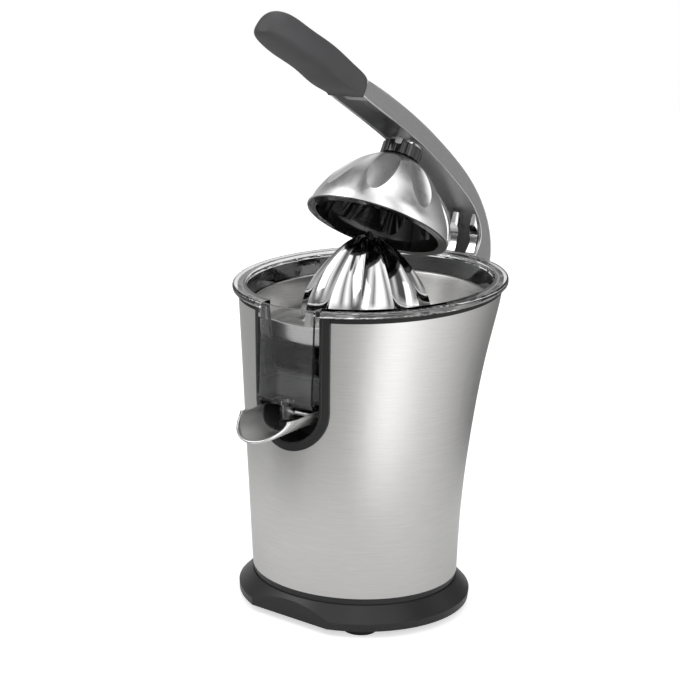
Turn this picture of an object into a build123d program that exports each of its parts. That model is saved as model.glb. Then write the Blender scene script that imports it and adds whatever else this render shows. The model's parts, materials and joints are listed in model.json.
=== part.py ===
from build123d import *
import os
from math import acos, cos, degrees, pi, radians, sin, tan

# Lever citrus juice press. Units are millimetres and degrees.
# Frame: Z up, the feet stand on Z = 0, the spout faces -Y and the lever hinge is at +Y.
# The Z axis runs through the middle of the tilted rim.

# ---------------------------------------------------------------- shared fits
SEAT = 0.05          # gap between fixed parts on curved seats
RUN_FIT = 0.05       # radial gap of a turning or sliding fit
SLIP = 0.4           # side gap beside a moving part
FAR = 400.0          # larger than the whole product

# ---------------------------------------------------------------- steel body
BODY_Y = -4.5
STEEL_T = 1.0
STEEL_H = 191.4
BODY_R_LOW = 70.4
BODY_R_TOP = 87.7
BODY_WAIST = 3.0
BODY_SWING = 4.8
BODY_STATIONS = 6
BODY_OVER = 20.0

# ---------------------------------------------------------------- base and feet
FOOT_R = 12.0
FOOT_H = 4.7
FOOT_X = 40.0
FOOT_DY = 48.5
FOOT_BEVEL = 1.0
SPIGOT_R = 8.0
SPIGOT_H = 1.5
BASE_REACH = 9.2
BASE_SKIRT_H = 5.0
BASE_DRAFT = 0.4
BASE_BEVEL_H = 9.3
NECK_INSET = 0.8
BASE_NECK_STEP = 0.9
BASE_NECK_H = 4.4
FLAT_INSET = 6.7
BASE_WALL = 3.0
DECK_T = 5.0
DECK_RISE = 3.0
COVER_T = 2.2
COVER_GAP = 0.4
VENT_W = 2.4
VENT_L = 34.0
VENT_PITCH = 7.0
VENT_COUNT = 7
SCREW_R = 1.8
SCREW_HEAD_R = 3.4
SCREW_HEAD_H = 1.8
SCREW_L = 11.0
BOSS_R = 5.0
COVER_SCREW_INSET = 7.6
COVER_SCREW_ANGLES = (90.0, 0.0, 180.0)

# ---------------------------------------------------------------- leaning rim
RIM_TILT = 6.0
FLANGE_OVER = 4.3
FLANGE_T = 4.2
FLANGE_ROUND = 1.4
GASKET_T = 3.5
GASKET_W = 2.2
GASKET_PROUD = 0.5

# ---------------------------------------------------------------- slot and bezel
SLOT_DROP = 73.6
SLOT_INNER = 23.2
SLOT_BACK = -40.0
BEZEL_LIP = 1.4
BEZEL_LOW = 29.1
BEZEL_TOP = 30.3
BEZEL_PROUD = 1.5
BEZEL_DEPTH = 2.4
POCKET_T = 2.0
POCKET_DEPTH = 32.0
POCKET_GAP = 5.0

# ---------------------------------------------------------------- juice collector
CLEAR_T = 2.0
BOWL_DEPTH = 52.5
BOWL_LOW_R = 73.0
BOWL_LOW_Y = -2.0
HUB_R = 13.5
HUB_H = 17.0
CHAMBER_GAP = 0.8
CHAMBER_DROP = 19.2
CHAMBER_DEPTH = 18.0
CHAMBER_MOUTH = 14.0
NOZZLE_INSET = 7.5
NOZZLE_R = 4.4
NOZZLE_L = 9.4
RIB_R = 1.3
RIB_H = 8.0
RIB_ANGLES = (35.0, 48.0, 152.0, 165.0)
LEDGE_ANGLES = (15.0, 90.0, 165.0, 220.0, 320.0)

# ---------------------------------------------------------------- sieve bowl
SIEVE_T = 0.8
SIEVE_DROP = 10.5
SIEVE_INSET = 4.3
SIEVE_GAP = 0.15
SIEVE_LOW_R = 54.0
SIEVE_RISE = 16.0
SIEVE_SLOTS = 20
SIEVE_SLOT_W = 1.6
SIEVE_SLOT_IN = 26.0
SIEVE_SLOT_OUT = 48.0

# ---------------------------------------------------------------- reamer cone
AXIS_Y = -3.0
CONE_CLEAR = 1.5
# crest radius and height over the cone's foot
CONE_FORM = ((44.6, 0.0), (43.4, 11.5), (38.8, 25.5), (29.6, 39.0), (17.0, 52.6), (10.5, 57.2), (6.4, 59.0))
CONE_RIBS = 12
CONE_GROOVE = 0.1
CONE_T = 1.5
CONE_HOLLOW = 4
PIN_TIP = 62.6
PIN_FORM = ((4.2, 56.0), (4.2, 57.6), (3.3, 58.6), (1.5, 61.8))
CORE_PLATE_T = 2.5
CORE_R = 9.0
CORE_H = 45.0
HEX_FLATS = 8.0
HEX_RISE = 5.0
HEX_L = 34.0

# ---------------------------------------------------------------- drive train
PRESS_TRAVEL = 2.5
SHAFT_R = 5.0
SHAFT_TAIL = 4.0
THRUST_GAP = 0.1
COLLAR_FLANGE_R = 9.0
COLLAR_FLANGE_H = 4.0
BUSH_R = 7.5
BUSH_FLANGE = 1.5
PRESSURE = 20.0
TOOTH_TIP = 0.95
TOOTH_ROOT = 1.25
FLANK_SHARES = (0.0, 0.5, 1.0)
BACKLASH = 0.14
OUT_MODULE = 1.0
OUT_TEETH = 48
OUT_GEAR_W = 7.0
OUT_GEAR_RISE = 5.8
IDLER_SMALL = 12
SMALL_GEAR_W = 15.8
PIN_MODULE = 0.8
IDLER_LARGE = 40
LARGE_GEAR_W = 7.2
PINION_TEETH = 10
PINION_UNDER = 0.5
PINION_OVER = 0.8
IDLER_ANGLE = 30.0
MOTOR_ANGLE = 180.0
GEAR_UNDER = 2.0
GEAR_OVER = 3.0
AXLE_R = 3.0
ROTOR_SHAFT_R = 2.0
PLATE_T = 4.0
PLATE_RISE = 9.6
POST_R = 4.0
POST_AT = 46.0
POST_ANGLES = (120.0, 220.0, 320.0)
TUB_R = 56.0
TUB_T = 2.5
TUB_GAP = 4.5
TUB_TOP_T = 3.5
TUB_BOSS_GAP = 0.5
TUB_BOSS_DROP = 7.0
CAN_R = 34.0
CAN_T = 3.0
CAN_H = 56.0
STATOR_RISE = 17.6
STATOR_H = 34.0
ROTOR_R = 16.5
AIR_GAP = 0.6
SPRING_R = 10.5
SPRING_WIRE = 0.9
SPRING_TURNS = 5
SPRING_H = 17.0
PLUNGER_T = 4.2
PLUNGER_R = 15.0
PLUNGER_ARM = 33.0
PLUNGER_ARM_HALF = 4.0
SWITCH_X = (24.0, 34.0)
SWITCH_HALF = 8.0
SWITCH_H = 12.0
BUTTON_R = 1.2
BUTTON_H = 1.0

# ---------------------------------------------------------------- drip spout
SPOUT_SIDE_GAP = 3.7
SPOUT_REACH = 44.2
SPOUT_TAIL = 3.5
SPOUT_DROP = 14.3
SPOUT_FLARE = 24.0
SPOUT_T = 1.4
SPOUT_ROUND = 4.0
# rim line: distance behind the flange's front and height over the spout's floor
SPOUT_RIM = ((32.0, 12.8), (-12.0, 12.2), (-30.0, 8.8), (-50.0, 8.0))
SPOUT_PIN_INSET = 20.0
SPOUT_PIN_RISE = 6.9
SPOUT_PIN_R = 2.0
SPOUT_EYE_R = 3.8
SPOUT_EYE_GAP = 3.5
PAD_R = 5.5
PAD_GAP = 3.0

# ---------------------------------------------------------------- hinge, heights from its axis
HINGE_REACH = 16.0
HINGE_DROP = 13.2
HINGE_PIN_R = 4.0
PIN_HEAD_R = 6.0
PIN_HEAD_T = 2.0
EAR_T = 5.0
EAR_R = 11.0
EAR_SPAN = (-28.3, 7.7)
BRACKET_HALF = 30.0
BRACKET_T = 3.5
BRACKET_SPAN = (-31.3, 6.7)
BRACKET_SCREWS = ((25.0, -24.8), (25.0, 0.2))
KNUCKLE_R = 8.0
WASHER_R = 9.0

# ---------------------------------------------------------------- lever arm, (y, z) from the hinge axis
ARM_HALF = 14.0
ARM_SKIN = 2.2
LUG_R = 13.0
LUG_END = 120.0
ARM_OUTER = (
    (-138.5, 142.5), (-79.5, 117.5), (-38.5, 94.5), (-4.5, 70.2),
    (17.0, 45.2), (26.0, 16.7), (18.5, -5.3), (0.0, -LUG_R),
)
ARM_INNER = (
    (6.0, 19.7), (11.3, 30.7), (5.5, 46.2), (-17.5, 66.9), (-80.2, 104.5), (-144.5, 134.2),
)
WEB_SHIFT = (-1.6, -1.8)
LEG_X = 8.2
LEG_R = 3.4
LEG_LEAN = 14.9
LEG_L = 48.0
TANG_HALF = 8.0
TANG_T = 5.0
TANG_L = 62.0
TANG_BACK = 14.0

# crest line of the grip: y, z, half width, rise above it, sag below it, squareness, tilt
GRIP_FORM = (
    (-143.3, 132.6, 14.0, 13.2, 0.4, 6.0, 26.6),
    (-157.0, 140.1, 14.3, 16.1, 3.0, 3.6, 27.0),
    (-174.0, 148.9, 14.8, 17.2, 4.2, 2.6, 25.5),
    (-194.0, 157.9, 15.2, 16.4, 5.2, 2.3, 23.5),
    (-209.5, 164.3, 14.4, 16.6, 5.2, 2.2, 22.5),
    (-218.5, 168.0, 12.4, 15.2, 4.4, 2.1, 22.0),
    (-224.7, 170.4, 8.4, 11.2, 3.2, 2.0, 22.0),
    (-226.9, 171.6, 2.8, 4.8, 1.4, 2.0, 22.0),
)
GRIP_POINTS = 16

# ---------------------------------------------------------------- press dome, place from the hinge axis
DOME_TILT = 27.8
DOME_DY = -102.3
DOME_DZ = 46.7
DOME_R = 47.3
DOME_FOOT = 2.5
DOME_H = 52.9
DOME_SQUARE = 1.57
DOME_T = 1.3
DOME_SKIRT = 4.0
DOME_STEP = 15
DOME_LIP = 1.7
DOME_LIP_H = 1.4
FLUTES = 8
FLUTE_R = 16.0
FLUTE_DEPTH = 3.2
FLUTE_LOW = 8.0
FLUTE_MID = 45.0
LINER_GAP = 2.9
LINER_T = 1.6
LINER_RIBS = 8
RIB_T = 1.6
LINER_RIB_H = 1.0
STEM_R = 7.0
COLLAR_R = 13.8
COLLAR_DROP = 3.5
COLLAR_H = 8.2
COLLAR_RIBS = 18
COLLAR_RIB_R = 1.3
# flank of the boss: radius and height over the collar
BOSS_FORM = ((13.0, 0.4), (12.8, 1.8), (10.6, 4.2), (8.6, 7.4), (7.5, 11.0), (7.2, 19.0))

# ---------------------------------------------------------------- cord gland
GLAND_RISE = 16.6
GLAND_R = 6.0
GLAND_BORE = 3.5
GLAND_FLANGE_R = 9.0
GLAND_PROUD = 3.0

# ---------------------------------------------------------------- derived radii
BASE_R = BODY_R_LOW + BASE_REACH
BASE_NECK_R = BODY_R_LOW - NECK_INSET
BASE_FLAT = BASE_R - FLAT_INSET
DECK_R = BODY_R_LOW - STEEL_T - NECK_INSET
COVER_SCREW_R = BASE_NECK_R - COVER_SCREW_INSET
FLANGE_R = BODY_R_TOP + FLANGE_OVER
BOWL_TOP_R = BODY_R_TOP - GASKET_W - CLEAR_T
SIEVE_TOP_R = BOWL_TOP_R - SIEVE_INSET
SLOT_CUT = SLOT_INNER + BEZEL_LIP
CHAMBER_HALF = SLOT_INNER - CHAMBER_GAP
SPOUT_HALF = SLOT_INNER - SPOUT_SIDE_GAP
SPOUT_EYE_HALF = SPOUT_HALF - SPOUT_EYE_GAP
TUB_BOSS_R = HUB_R - CLEAR_T - TUB_BOSS_GAP

# ---------------------------------------------------------------- derived depths, front to back
POCKET_BACK = POCKET_DEPTH - FLANGE_R
CHAMBER_BACK = CHAMBER_DEPTH - FLANGE_R
CHAMBER_END = CHAMBER_BACK + CHAMBER_MOUTH
NOZZLE_Y = NOZZLE_INSET - FLANGE_R
SPOUT_TIP = -FLANGE_R - SPOUT_REACH
SPOUT_PIN_Y = SPOUT_PIN_INSET - FLANGE_R
SPOUT_REAR = SPOUT_PIN_Y + SPOUT_TAIL
HINGE_Y = FLANGE_R + HINGE_REACH

# ---------------------------------------------------------------- derived heights
BASE_Z = FOOT_H
SKIRT_Z = BASE_Z + BASE_SKIRT_H
NECK_Z = SKIRT_Z + BASE_BEVEL_H
STEEL_Z = NECK_Z + BASE_NECK_H
DECK_Z = STEEL_Z + DECK_RISE
STEEL_TOP = STEEL_Z + STEEL_H
GLAND_Z = STEEL_Z + GLAND_RISE
RIM_Z = STEEL_TOP + GASKET_T + FLANGE_T
SLOT_Z = RIM_Z - SLOT_DROP
BOWL_FLOOR = RIM_Z - BOWL_DEPTH
HUB_TOP = BOWL_FLOOR + HUB_H
CHAMBER_Z = BOWL_FLOOR - CHAMBER_DROP
NOZZLE_END = CHAMBER_Z - NOZZLE_L
POCKET_TOP = BOWL_FLOOR - CLEAR_T - POCKET_GAP
SIEVE_FLOOR = BOWL_FLOOR + SIEVE_RISE
CONE_BASE = HUB_TOP + PRESS_TRAVEL + CONE_CLEAR
HEX_LOW = CONE_BASE + HEX_RISE
SHAFT_TOP = HEX_LOW + HEX_L
CORE_TOP = CONE_BASE + CORE_H
SPOUT_Z = SLOT_Z - SPOUT_DROP
SPOUT_PIN_Z = SPOUT_Z + SPOUT_PIN_RISE
PAD_TOP = NOZZLE_END - PAD_GAP
TUB_TOP = BOWL_FLOOR - CLEAR_T - TUB_GAP - TUB_TOP_T
TUB_BOSS_TOP = HUB_TOP - TUB_BOSS_DROP
LOW_PLATE_Z = DECK_Z + CAN_H + PLATE_RISE
LARGE_LOW = LOW_PLATE_Z + PLATE_T + GEAR_UNDER
LARGE_TOP = LARGE_LOW + LARGE_GEAR_W
LARGE_GEAR_Z = (LARGE_LOW, LARGE_TOP)
SMALL_GEAR_Z = (LARGE_TOP, LARGE_TOP + SMALL_GEAR_W)
OUT_GEAR_Z = (LARGE_TOP + OUT_GEAR_RISE, LARGE_TOP + OUT_GEAR_RISE + OUT_GEAR_W)
PINION_Z = (LARGE_LOW - PINION_UNDER, LARGE_TOP + PINION_OVER)
HIGH_PLATE_Z = SMALL_GEAR_Z[1] + GEAR_OVER
PLATE_TOP = HIGH_PLATE_Z + PLATE_T
SHAFT_LOW = LOW_PLATE_Z - SHAFT_TAIL
PLUNGER_Z = PLATE_TOP + SPRING_H
COLLAR_SEAT = PLUNGER_Z + PLUNGER_T + THRUST_GAP
SWITCH_TOP = PLATE_TOP + SWITCH_H
STATOR_Z = (DECK_Z + STATOR_RISE, DECK_Z + STATOR_RISE + STATOR_H)
HINGE_Z = RIM_Z - HINGE_DROP
DOME_Y = HINGE_Y + DOME_DY
DOME_Z = HINGE_Z + DOME_DZ
COLLAR_LOW = DOME_H - COLLAR_DROP
COLLAR_TOP = COLLAR_LOW + COLLAR_H
DOME_TOP = COLLAR_LOW - SLIP
LINER_TOP = DOME_TOP - DOME_T

# ---------------------------------------------------------------- derived widths and frames
EAR_IN = ARM_HALF + SLIP
EAR_OUT = EAR_IN + EAR_T
CHEEK_IN = ARM_HALF - ARM_SKIN
IDLER_REACH = OUT_MODULE * (OUT_TEETH + IDLER_SMALL) / 2
MOTOR_REACH = PIN_MODULE * (IDLER_LARGE + PINION_TEETH) / 2
IDLER_X = IDLER_REACH * cos(radians(IDLER_ANGLE))
IDLER_Y = AXIS_Y + IDLER_REACH * sin(radians(IDLER_ANGLE))
MOTOR_X = IDLER_X + MOTOR_REACH * cos(radians(MOTOR_ANGLE))
MOTOR_Y = IDLER_Y + MOTOR_REACH * sin(radians(MOTOR_ANGLE))
LUG_TOP = (LUG_R * cos(radians(LUG_END)), LUG_R * sin(radians(LUG_END)))
UP_MIN = (Align.CENTER, Align.CENTER, Align.MIN)
SIDE = Plane(origin=(0, 0, 0), x_dir=(0, 1, 0), z_dir=(1, 0, 0))
HINGE = Pos(0, HINGE_Y, HINGE_Z)
RIM = Plane(
    origin=(0, 0, RIM_Z),
    x_dir=(1, 0, 0),
    z_dir=(0, -sin(radians(RIM_TILT)), cos(radians(RIM_TILT))),
)
DOME = Plane(
    origin=(0, DOME_Y, DOME_Z),
    x_dir=(1, 0, 0),
    z_dir=(0, sin(radians(DOME_TILT)), cos(radians(DOME_TILT))),
)
nodes = {}


# ---------------------------------------------------------------- helpers
def disc(radius, low, high, x=0.0, y=0.0):
    """Upright cylinder between two heights."""
    return Pos(x, y, low) * Cylinder(radius, high - low, align=UP_MIN)


def ring(outer, inner, low, high, x=0.0, y=0.0):
    """Upright tube between two heights."""
    return disc(outer, low, high, x, y) - disc(inner, low, high, x, y)


def rod_x(radius, low, high, y, z):
    """Cylinder along X between two x limits."""
    return Pos(low, y, z) * Rot(0, 90, 0) * Cylinder(radius, high - low, align=UP_MIN)


def rod_y(radius, low, high, x, z):
    """Cylinder along Y between two y limits."""
    return Pos(x, high, z) * Rot(90, 0, 0) * Cylinder(radius, high - low, align=UP_MIN)


def block(x_span, y_span, z_span):
    """Box between limits on each axis."""
    sizes = [span[1] - span[0] for span in (x_span, y_span, z_span)]
    corner = Pos(x_span[0], y_span[0], z_span[0])
    return corner * Box(*sizes, align=(Align.MIN, Align.MIN, Align.MIN))


def turned(*corners):
    """Solid of revolution about Z from (radius, height) corners."""
    face = Plane.XZ * make_face(Polyline(*corners, close=True))
    return revolve(face, Axis.Z)


def turned_curve(form, low, high):
    """Solid of revolution whose flank is a smooth curve through form."""
    flank = Spline(*form)
    closing = Polyline(form[-1], (0, high), (0, low), form[0])
    return revolve(Plane.XZ * make_face(flank + closing), Axis.Z)


def side_plate(face, low, high):
    """Extrude a face drawn in (y, z) between two x limits."""
    return Pos(low, 0, 0) * extrude(SIDE * face, high - low)


def arm_plate(face, low, high):
    """Side plate whose face is drawn from the hinge axis."""
    return HINGE * side_plate(face, low, high)


def joined(solids):
    """One node from several solids."""
    total = solids[0]
    for solid in solids[1:]:
        total = total + solid
    return total


def above_rim(drop):
    """Everything above the leaning plane that lies drop under the flange top."""
    return RIM.location * Pos(0, 0, -drop) * Box(FAR, FAR, FAR / 2, align=UP_MIN)


def body_r(z):
    """Outer radius of the steel body at a height."""
    s = (STEEL_TOP - z) / STEEL_H
    s = max(s, 0)
    return BODY_R_TOP + (BODY_R_LOW - BODY_R_TOP) * s - 4 * BODY_WAIST * s * (1 - s)


def body_y(z):
    """Centre of the steel body's section at a height."""
    s = (STEEL_TOP - z) / STEEL_H
    s = max(s, 0)
    return BODY_Y * s - 4 * BODY_SWING * s * (1 - s)


def body_form(offset):
    """The tapered body, grown by an offset and run on past both ends."""
    levels = [STEEL_Z - BODY_OVER]
    levels += [STEEL_Z + STEEL_H * i / (BODY_STATIONS - 1) for i in range(BODY_STATIONS)]
    levels += [STEEL_TOP + BODY_OVER]
    return loft([Pos(0, body_y(z), z) * Circle(body_r(z) + offset) for z in levels])


def slot_form(low_half, top_half=None, back=SLOT_BACK):
    """U-shaped prism through the front of the body."""
    top_half = top_half or low_half
    top = RIM_Z + FLANGE_R
    left = (-low_half, SLOT_Z)
    right = (low_half, SLOT_Z)
    sides = Polyline(left, (-top_half, top), (top_half, top), right)
    round_end = ThreePointArc(right, (0, SLOT_Z - low_half), left)
    face = Plane.XZ * make_face(sides + round_end)
    return Pos(0, back, 0) * extrude(face, FAR / 4)


def gear(module, teeth, z_span, x, y, bore, phase):
    """Spur gear with involute flanks; phase is the angle of one tooth."""
    pressure = radians(PRESSURE)
    pitch_r = module * teeth / 2
    base_r = pitch_r * cos(pressure)
    tip_r = pitch_r + TOOTH_TIP * module
    root_r = pitch_r - TOOTH_ROOT * module
    start_r = max(root_r, base_r)
    half_pitch = pi / (2 * teeth) - BACKLASH / (2 * pitch_r)
    roll = tan(pressure) - pressure
    flank = []
    for share in FLANK_SHARES:
        r = start_r + share * (tip_r - start_r)
        turn = acos(min(1.0, base_r / r))
        flank.append((r, half_pitch + roll - (tan(turn) - turn)))
    if root_r < base_r:
        flank.insert(0, (root_r, flank[0][1]))
    points = []
    for i in range(teeth):
        middle = 2 * pi * i / teeth + radians(phase)
        for r, half in flank:
            points.append((r * cos(middle - half), r * sin(middle - half)))
        for r, half in reversed(flank):
            points.append((r * cos(middle + half), r * sin(middle + half)))
    blank = extrude(make_face(Polyline(*points, close=True)), z_span[1] - z_span[0])
    return Pos(x, y, z_span[0]) * (blank - Cylinder(bore, FAR))


def screw(place, length=SCREW_L):
    """Pan-head screw, head against the local XY plane, shank down -Z."""
    head = Cylinder(SCREW_HEAD_R, SCREW_HEAD_H, align=UP_MIN)
    shank = Pos(0, 0, -length) * Cylinder(SCREW_R, length, align=UP_MIN)
    return place * (head + shank)


def coil(radius, wire, height, turns):
    """Helical spring about Z, standing on the XY plane, closed wire section."""
    pitch = (height - 2 * wire) / turns
    path = Pos(0, 0, wire) * Helix(pitch, height - 2 * wire, radius)
    start = Plane(origin=path @ 0, z_dir=path % 0)
    return sweep(start * RegularPolygon(wire, 6), path, is_frenet=True)


# ---------------------------------------------------------------- base
def make_base():
    """Bevelled base with a flat front, a deck for the chassis and screw bosses."""
    outer = turned(
        (0, BASE_Z),
        (BASE_R - BASE_DRAFT, BASE_Z),
        (BASE_R, SKIRT_Z),
        (BASE_NECK_R + BASE_NECK_STEP, NECK_Z),
        (BASE_NECK_R, NECK_Z),
        (BASE_NECK_R, STEEL_Z),
        (DECK_R, STEEL_Z),
        (DECK_R, DECK_Z),
        (0, DECK_Z),
    )
    cavity = turned(
        (0, BASE_Z),
        (BASE_R - BASE_WALL, BASE_Z),
        (BASE_R - BASE_WALL, SKIRT_Z - BASE_WALL / 2),
        (BASE_NECK_R - BASE_WALL, NECK_Z - BASE_WALL / 2),
        (BASE_NECK_R - BASE_WALL, DECK_Z - DECK_T),
        (0, DECK_Z - DECK_T),
    )
    front = block((-FAR, FAR), (-FAR, -BASE_FLAT), (0, FAR))
    cavity_front = block((-FAR, FAR), (-FAR, BASE_WALL - BASE_FLAT), (0, FAR))
    cavity = cavity - cavity_front
    body = outer - front - cavity
    cover_top = BASE_Z + COVER_T
    cover = cavity & block((-FAR, FAR), (-FAR, FAR), (0, cover_top))
    shrink = 1 - COVER_GAP / BASE_R
    cover = scale(cover, by=(shrink, shrink, 1))
    bosses = []
    screws = []
    for angle in COVER_SCREW_ANGLES:
        x = COVER_SCREW_R * cos(radians(angle))
        y = COVER_SCREW_R * sin(radians(angle))
        bosses.append(disc(BOSS_R, cover_top, DECK_Z - DECK_T, x, y))
        screws.append(screw(Pos(x, y, BASE_Z + SCREW_HEAD_H) * Rot(180, 0, 0)))
    shift = Pos(0, BODY_Y, 0)
    screws = shift * joined(screws)
    nodes["base_plate"] = shift * (body + bosses) - screws
    vents = []
    for i in range(VENT_COUNT):
        y = (i - (VENT_COUNT - 1) / 2) * VENT_PITCH
        vents.append(block((-VENT_L / 2, VENT_L / 2), (y - VENT_W / 2, y + VENT_W / 2), (0, FAR)))
    feet = joined([make_foot(x, y) for x in (-FOOT_X, FOOT_X) for y in (-FOOT_DY, FOOT_DY)])
    nodes["feet"] = shift * feet
    nodes["bottom_cover"] = shift * (cover - vents) - screws - nodes["feet"]
    nodes["cover_screws"] = screws


def make_foot(x, y):
    """Round rubber foot with a spigot up into the cover."""
    pad = disc(FOOT_R, 0, FOOT_H, x, y)
    pad = chamfer(pad.edges().group_by(Axis.Z)[0], FOOT_BEVEL)
    return pad + disc(SPIGOT_R, FOOT_H, FOOT_H + SPIGOT_H, x, y)


# ---------------------------------------------------------------- housing
def make_housing():
    """Steel wall, front bezel, slot pocket, rim gasket and cord gland."""
    steel = body_form(0)
    inside = body_form(-STEEL_T)
    below = block((-FAR, FAR), (-FAR, FAR), (0, STEEL_Z))
    gland_y = body_y(GLAND_Z) + body_r(GLAND_Z)
    gland_hole = rod_y(GLAND_R + SEAT, 0, FAR, 0, GLAND_Z)
    shell = steel - inside - below - above_rim(FLANGE_T + GASKET_T)
    shell = shell - slot_form(SLOT_CUT) - gland_hole
    nodes["housing_shell"] = shell

    seat = body_form(SEAT)
    band = (body_form(BEZEL_PROUD) - seat) & slot_form(BEZEL_LOW, BEZEL_TOP)
    lip = (seat - body_form(-BEZEL_DEPTH)) & slot_form(SLOT_CUT - SEAT)
    bezel = band + lip - slot_form(SLOT_INNER) - above_rim(FLANGE_T + SEAT)
    nodes["slot_bezel"] = bezel

    tray = slot_form(SLOT_INNER + POCKET_T, back=POCKET_BACK)
    tray = tray - slot_form(SLOT_INNER, back=POCKET_BACK - POCKET_T)
    tray = tray & body_form(-BEZEL_DEPTH - SEAT)
    tray = tray - block((-FAR, FAR), (-FAR, FAR), (POCKET_TOP, FAR))
    tray = tray - rod_x(SPOUT_PIN_R, -FAR / 2, FAR / 2, SPOUT_PIN_Y, SPOUT_PIN_Z)
    nodes["slot_pocket"] = tray

    gasket = body_form(GASKET_PROUD) - body_form(-GASKET_W)
    gasket = gasket - above_rim(FLANGE_T) & above_rim(FLANGE_T + GASKET_T)
    nodes["rim_gasket"] = gasket - slot_form(BEZEL_LOW + SEAT, BEZEL_TOP + SEAT)

    sleeve = rod_y(GLAND_R, gland_y - BASE_WALL, gland_y + GLAND_PROUD, 0, GLAND_Z)
    flange = rod_y(GLAND_FLANGE_R, gland_y + SEAT, gland_y + GLAND_PROUD, 0, GLAND_Z) - seat
    nodes["cord_gland"] = sleeve + flange - rod_y(GLAND_BORE, 0, FAR, 0, GLAND_Z)


# ---------------------------------------------------------------- collector and sieve
def rim_loft(top_r, drop, low_r, low_z, low_y):
    """Loft from a circle parallel to the leaning rim down to a level circle."""
    top = RIM.location * Pos(0, 0, -drop) * Circle(top_r)
    return loft([top, Pos(0, low_y, low_z) * Circle(low_r)])


def bowl_hollow(gap):
    """Hollow of the collector bowl, less a gap all round."""
    return rim_loft(BOWL_TOP_R - gap, -CLEAR_T, BOWL_LOW_R - gap, BOWL_FLOOR, BOWL_LOW_Y)


def make_collector():
    """Clear bowl with a flange, a front chamber, a drain nozzle and a hub."""
    outer = rim_loft(BOWL_TOP_R + CLEAR_T, 0, BOWL_LOW_R + CLEAR_T, BOWL_FLOOR - CLEAR_T, BOWL_LOW_Y)
    inner = bowl_hollow(0)
    flange = RIM.location * Pos(0, 0, -FLANGE_T) * Cylinder(FLANGE_R, FLANGE_T, align=UP_MIN)
    flange = fillet(flange.edges(), FLANGE_ROUND)
    hub = disc(HUB_R, BOWL_FLOOR - CLEAR_T, HUB_TOP, 0, AXIS_Y)
    top = RIM_Z + FLANGE_R
    walls = block((-CHAMBER_HALF, CHAMBER_HALF), (-FAR, CHAMBER_BACK), (CHAMBER_Z, top))
    walls = walls & disc(FLANGE_R, 0, FAR)
    walls = walls - above_rim(0)
    hollow_half = CHAMBER_HALF - CLEAR_T
    floor = CHAMBER_Z + CLEAR_T
    hollow = block((-hollow_half, hollow_half), (-FAR, CHAMBER_BACK - CLEAR_T), (floor, top))
    hollow = hollow + block((-hollow_half, hollow_half), (-FAR, CHAMBER_END), (BOWL_FLOOR, top))
    hollow = hollow & disc(FLANGE_R - CLEAR_T, 0, FAR)
    nozzle = disc(NOZZLE_R, NOZZLE_END, CHAMBER_Z, 0, NOZZLE_Y)
    bore = disc(NOZZLE_R - CLEAR_T / 2, NOZZLE_END, floor, 0, NOZZLE_Y)
    bowl = (outer + flange + walls) - inner + hub
    bowl = bowl - hollow + nozzle - bore
    bowl = bowl - disc(HUB_R - CLEAR_T, 0, FAR, 0, AXIS_Y)
    ribs = wall_ribs(RIB_ANGLES, FLANGE_ROUND, RIB_H)
    ledges = wall_ribs(LEDGE_ANGLES, SIEVE_DROP, SIEVE_DROP + RIB_H) & outer
    nodes["juice_collector"] = bowl + ribs + ledges


def wall_ribs(angles, high_drop, low_drop):
    """Short upright ribs on the collector wall between two drops below the rim."""
    ribs = []
    for angle in angles:
        reach = BOWL_TOP_R - RIB_R / 2 - high_drop * (BOWL_TOP_R - BOWL_LOW_R) / BOWL_DEPTH
        rib = Pos(reach * cos(radians(angle)), reach * sin(radians(angle)), -low_drop)
        ribs.append(RIM.location * rib * Cylinder(RIB_R, low_drop - high_drop, align=UP_MIN))
    return joined(ribs)


def make_sieve():
    """Steel sieve bowl with radial strainer slots round the hub."""
    inner_r = SIEVE_TOP_R - SIEVE_T
    inner_low_r = SIEVE_LOW_R - SIEVE_T
    outer = rim_loft(SIEVE_TOP_R, SIEVE_DROP, SIEVE_LOW_R, SIEVE_FLOOR, AXIS_Y)
    inner = rim_loft(inner_r, SIEVE_DROP - SIEVE_T, inner_low_r, SIEVE_FLOOR + SIEVE_T, AXIS_Y)
    lip = Cylinder(FLANGE_R, SIEVE_T, align=UP_MIN) - Cylinder(inner_r, FAR)
    lip = RIM.location * Pos(0, 0, -SIEVE_DROP) * lip & bowl_hollow(SIEVE_GAP)
    bowl = outer - inner + lip
    slots = []
    for i in range(SIEVE_SLOTS):
        slot = block((SIEVE_SLOT_IN, SIEVE_SLOT_OUT), (-SIEVE_SLOT_W / 2, SIEVE_SLOT_W / 2), (0, FAR / 2))
        slots.append(Pos(0, AXIS_Y, 0) * Rot(0, 0, 360 * i / SIEVE_SLOTS) * slot)
    hole = disc(HUB_R + SLIP, 0, FAR, 0, AXIS_Y)
    nodes["sieve_bowl"] = bowl - slots - hole


# ---------------------------------------------------------------- cone and spindle
def ribbed_section(radius, z):
    """Level section with one sharp crest per rib and a round valley between crests."""
    valley = radius * (1 - CONE_GROOVE)
    arcs = []
    for i in range(CONE_RIBS):
        turns = [2 * pi * (i + share) / CONE_RIBS for share in (0.0, 0.5, 1.0)]
        reaches = (radius, valley, radius)
        points = [(r * cos(turn), r * sin(turn)) for r, turn in zip(reaches, turns)]
        arcs.append(ThreePointArc(*points))
    return Pos(0, 0, z) * make_face(arcs)


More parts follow.
